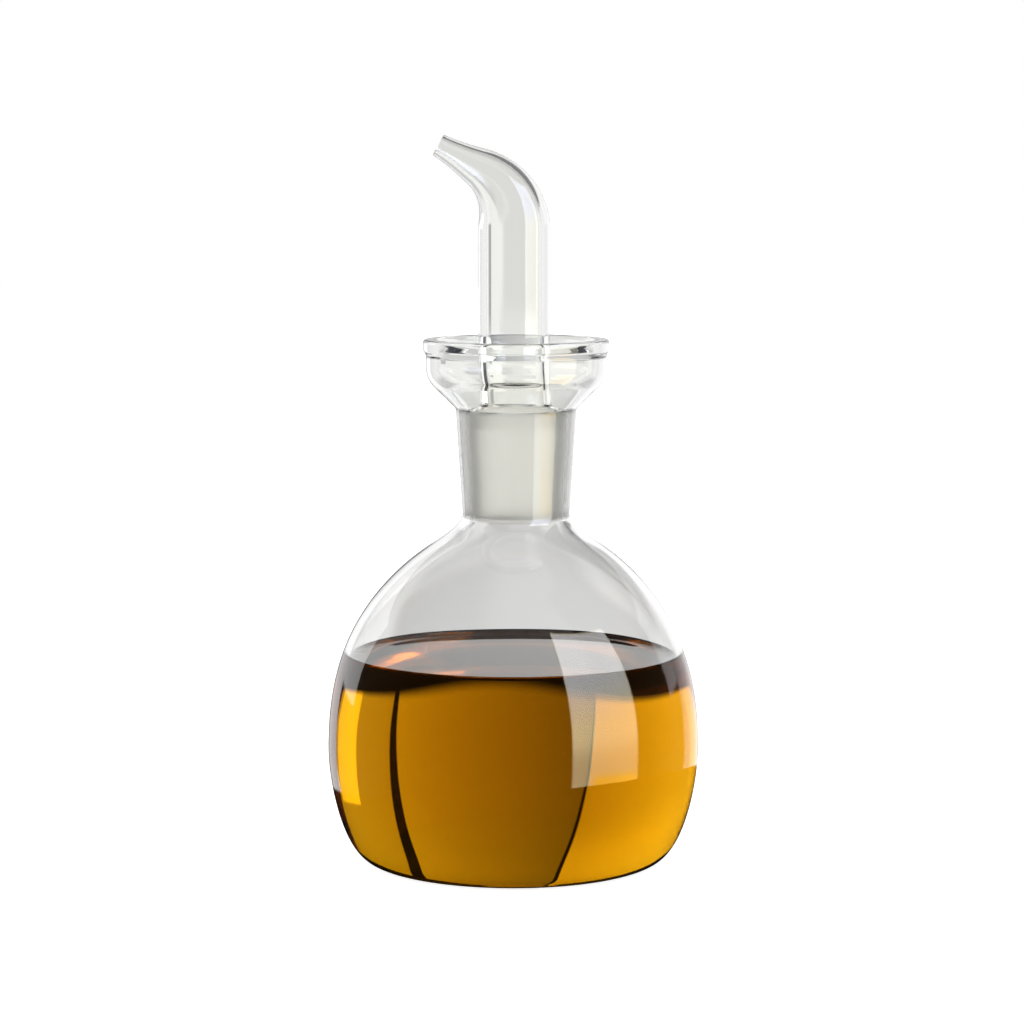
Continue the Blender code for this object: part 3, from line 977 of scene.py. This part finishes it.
        shade = (*self.room, 1.0)
        for panel in self.panels():
            offset = sheet.math("WRAP", sheet.math("SUBTRACT", azimuth, panel.middle), 180.0, -180.0)
            shares = self.edges(sheet, panel, offset, elevation)
            if panel.seen in rays:
                shares.append(rays[panel.seen])
            window = shares[0]
            for share in shares[1:]:
                window = sheet.math("MULTIPLY", window, share)
            shade = sheet.mix(window, shade, self.glow(sheet, panel, offset))
        seen = sheet.mix(path.outputs["Is Camera Ray"], shade, WHITE)
        background = sheet.add("ShaderNodeBackground")
        sheet.feed(background.inputs["Color"], seen)
        deep = sheet.math("MULTIPLY", through, more)
        sheet.feed(background.inputs["Strength"], sheet.math("MULTIPLY_ADD", deep, self.deep_gain, 1.0))
        output = sheet.add("ShaderNodeOutputWorld")
        sheet.feed(output.inputs["Surface"], background.outputs["Background"])
        bpy.context.scene.world = world

    def edges(self, sheet: NodeSheet, panel: Panel, offset: bpy.types.NodeSocket,
              elevation: bpy.types.NodeSocket) -> list[bpy.types.NodeSocket]:
        """For each edge that a panel has, a number that goes from 0 outside it to 1 inside.

        Args:
            sheet: the world's node tree.
            panel: the panel.
            offset: the azimuth, counted from the panel's middle.
            elevation: the height in degrees.

        Returns:
            The sockets that hold these numbers.
        """
        shares = []
        edge = panel.soft / 2
        if panel.half < 180.0:
            past_start = self.sheared(sheet, offset, elevation, panel.start_lean)
            shares.append(sheet.ramp(past_start, -panel.half - edge, -panel.half + edge))
            past_end = self.sheared(sheet, offset, elevation, panel.end_lean)
            shares.append(sheet.ramp(past_end, panel.half + edge, panel.half - edge))
        if panel.low > -90.0:
            low_edge = panel.low_soft / 2
            shares.append(sheet.ramp(elevation, panel.low - low_edge, panel.low + low_edge))
        if panel.high < 90.0:
            past_top = self.sheared(sheet, elevation, offset, panel.slant)
            shares.append(sheet.ramp(past_top, panel.high + edge, panel.high - edge))
        return shares

    def sheared(self, sheet: NodeSheet, value: bpy.types.NodeSocket, other: bpy.types.NodeSocket,
                lean: float) -> bpy.types.NodeSocket:
        """Returns value - lean * other, which is value itself where there is no lean."""
        return sheet.math("MULTIPLY_ADD", other, -lean, value) if lean else value

    def glow(self, sheet: NodeSheet, panel: Panel, offset: bpy.types.NodeSocket) -> object:
        """A panel's light, as one colour or as a socket where it changes from start to end."""
        if panel.first == panel.last:
            return tuple(panel.first * share for share in panel.tint) + (1.0,)
        bright = sheet.ramp(offset, -panel.half, panel.half, panel.first, panel.last, eased=False)
        glow = sheet.add("ShaderNodeVectorMath", operation="SCALE")
        glow.inputs[0].default_value = panel.tint
        sheet.feed(glow.inputs["Scale"], bright)
        return glow.outputs["Vector"]

    def lay_floor(self) -> None:
        """Lays the pale floor, a wide round sheet just under the cruet."""
        angle = np.linspace(0.0, math.tau, self.floor_sides, endpoint=False)
        rim = np.column_stack([np.cos(angle), np.sin(angle)]) * self.floor_radius
        points = np.column_stack([rim, np.full(self.floor_sides, -self.floor_drop)])
        mesh = bpy.data.meshes.new("studio_floor")
        mesh.from_pydata(points.tolist(), [], [list(range(self.floor_sides))])
        mesh.materials.append(self.floor_paper())
        floor = bpy.data.objects.new("studio_floor", mesh)
        bpy.context.scene.collection.objects.link(floor)

    def floor_paper(self) -> bpy.types.Material:
        """The floor's material: pale to the camera, and to the glass a dark oval under the cruet, a painted
        dark reflection.
        """
        material = bpy.data.materials.new("floor_paper")
        material.use_nodes = True
        sheet = NodeSheet(material.node_tree)
        paper = sheet.add("ShaderNodeBsdfDiffuse")
        paper.inputs["Color"].default_value = (self.floor_white, self.floor_white, self.floor_white, 1.0)
        glow = sheet.add("ShaderNodeEmission")
        glow.inputs["Strength"].default_value = self.floor_glow
        pale = sheet.add("ShaderNodeAddShader")
        sheet.feed(pale.inputs[0], paper.outputs["BSDF"])
        sheet.feed(pale.inputs[1], glow.outputs["Emission"])
        # Painted dark reflection: a near-black floor colour that only rays from the glass see.
        painted_dark = sheet.add("ShaderNodeBsdfDiffuse")
        painted_dark.inputs["Color"].default_value = (self.painted_dark_level, self.painted_dark_level, self.painted_dark_level, 1.0)
        clear = sheet.add("ShaderNodeBsdfTransparent")
        path = sheet.add("ShaderNodeLightPath")
        mirrored = sheet.math("MINIMUM", path.outputs["Glossy Depth"], 1.0)
        seen_through = self.painted_dark_oval(sheet, self.painted_dark_centre, self.painted_dark_reach)
        seen_mirrored = self.painted_dark_oval(sheet, self.mirrored_centre, self.mirrored_reach)
        inside = sheet.ramp(mirrored, 0.0, 1.0, seen_through, seen_mirrored, eased=False)
        below = sheet.add("ShaderNodeMixShader")
        sheet.feed(below.inputs[0], inside)
        sheet.feed(below.inputs[1], clear.outputs["BSDF"])
        sheet.feed(below.inputs[2], painted_dark.outputs["BSDF"])
        direct = sheet.math("MAXIMUM", path.outputs["Is Camera Ray"], path.outputs["Is Diffuse Ray"])
        choice = sheet.add("ShaderNodeMixShader")
        sheet.feed(choice.inputs[0], direct)
        sheet.feed(choice.inputs[1], below.outputs["Shader"])
        sheet.feed(choice.inputs[2], pale.outputs["Shader"])
        output = sheet.add("ShaderNodeOutputMaterial")
        sheet.feed(output.inputs["Surface"], choice.outputs["Shader"])
        return material

    def painted_dark_oval(self, sheet: NodeSheet, centre: tuple[float, float],
                    reach: tuple[float, float]) -> bpy.types.NodeSocket:
        """A soft-edged oval on the floor, the mask of the painted dark reflection: 1 where (x / reach x)^2 +
        (y / reach y)^2 is under 1, else 0.

        Args:
            sheet: the floor's node tree.
            centre: the oval's centre.
            reach: its half axes.

        Returns:
            The socket that holds the oval.
        """
        place = sheet.add("ShaderNodeTexCoord")
        parts = sheet.add("ShaderNodeSeparateXYZ")
        sheet.feed(parts.inputs[0], place.outputs["Object"])
        across = sheet.math("DIVIDE", sheet.math("SUBTRACT", parts.outputs["X"], centre[0]), reach[0])
        along = sheet.math("DIVIDE", sheet.math("SUBTRACT", parts.outputs["Y"], centre[1]), reach[1])
        squared = sheet.math("MULTIPLY_ADD", across, across, sheet.math("MULTIPLY", along, along))
        return sheet.ramp(squared, 1.0 + self.painted_dark_soft, 1.0 - self.painted_dark_soft)

    def hang_lamp(self) -> None:
        """Hangs a wide soft lamp over the cruet, which lights the floor and isn't seen in the glass."""
        lamp = bpy.data.lights.new("overhead_lamp", "AREA")
        lamp.shape = "DISK"
        lamp.size = self.lamp_size
        lamp.energy = self.lamp_power
        holder = bpy.data.objects.new("overhead_lamp", lamp)
        holder.location = (0.0, 0.0, self.lamp_height)
        holder.visible_camera = False
        holder.visible_glossy = False
        holder.visible_transmission = False
        bpy.context.scene.collection.objects.link(holder)

    def set_colours(self) -> None:
        """Shows colours as they are, and lets light pass through all the layers of glass."""
        scene = bpy.context.scene
        scene.view_settings.view_transform = "Standard"
        scene.view_settings.look = "None"
        scene.cycles.max_bounces = self.bounces
        scene.cycles.transmission_bounces = self.bounces
        scene.cycles.glossy_bounces = self.glossy_bounces
        scene.cycles.diffuse_bounces = self.diffuse_bounces
        scene.cycles.use_denoising = True

    def build(self) -> None:
        """Sets up camera, light, floor and colours."""
        self.place_camera()
        self.light()
        self.lay_floor()
        self.hang_lamp()
        self.set_colours()


def main() -> None:
    logging.basicConfig(level=logging.INFO, format="%(name)s: %(message)s")
    Studio().build()
    clear = ClearGlass().make()
    wetted = ClearGlass("clear_glass_wetted", shine=(0.0, 0.0, 0.0)).make()
    # Painted reflection tint: the same glass with dimmer, bluer reflections, for the neck, cup and spout.
    painted_cool_shine = ClearGlass("clear_glass_cool", shine=(0.62, 0.68, 0.95)).make()
    ground = GroundGlass().make()
    oil = GoldenOil().make()
    flask = Flask(clear, ground, wetted, painted_cool_shine, OIL_LEVEL + OIL_CLIMB)
    flask.build()
    PouringSpout(painted_cool_shine, ground, flask.sway).build()
    OilFill(flask, oil).build()


if __name__ == "__main__":
    main()
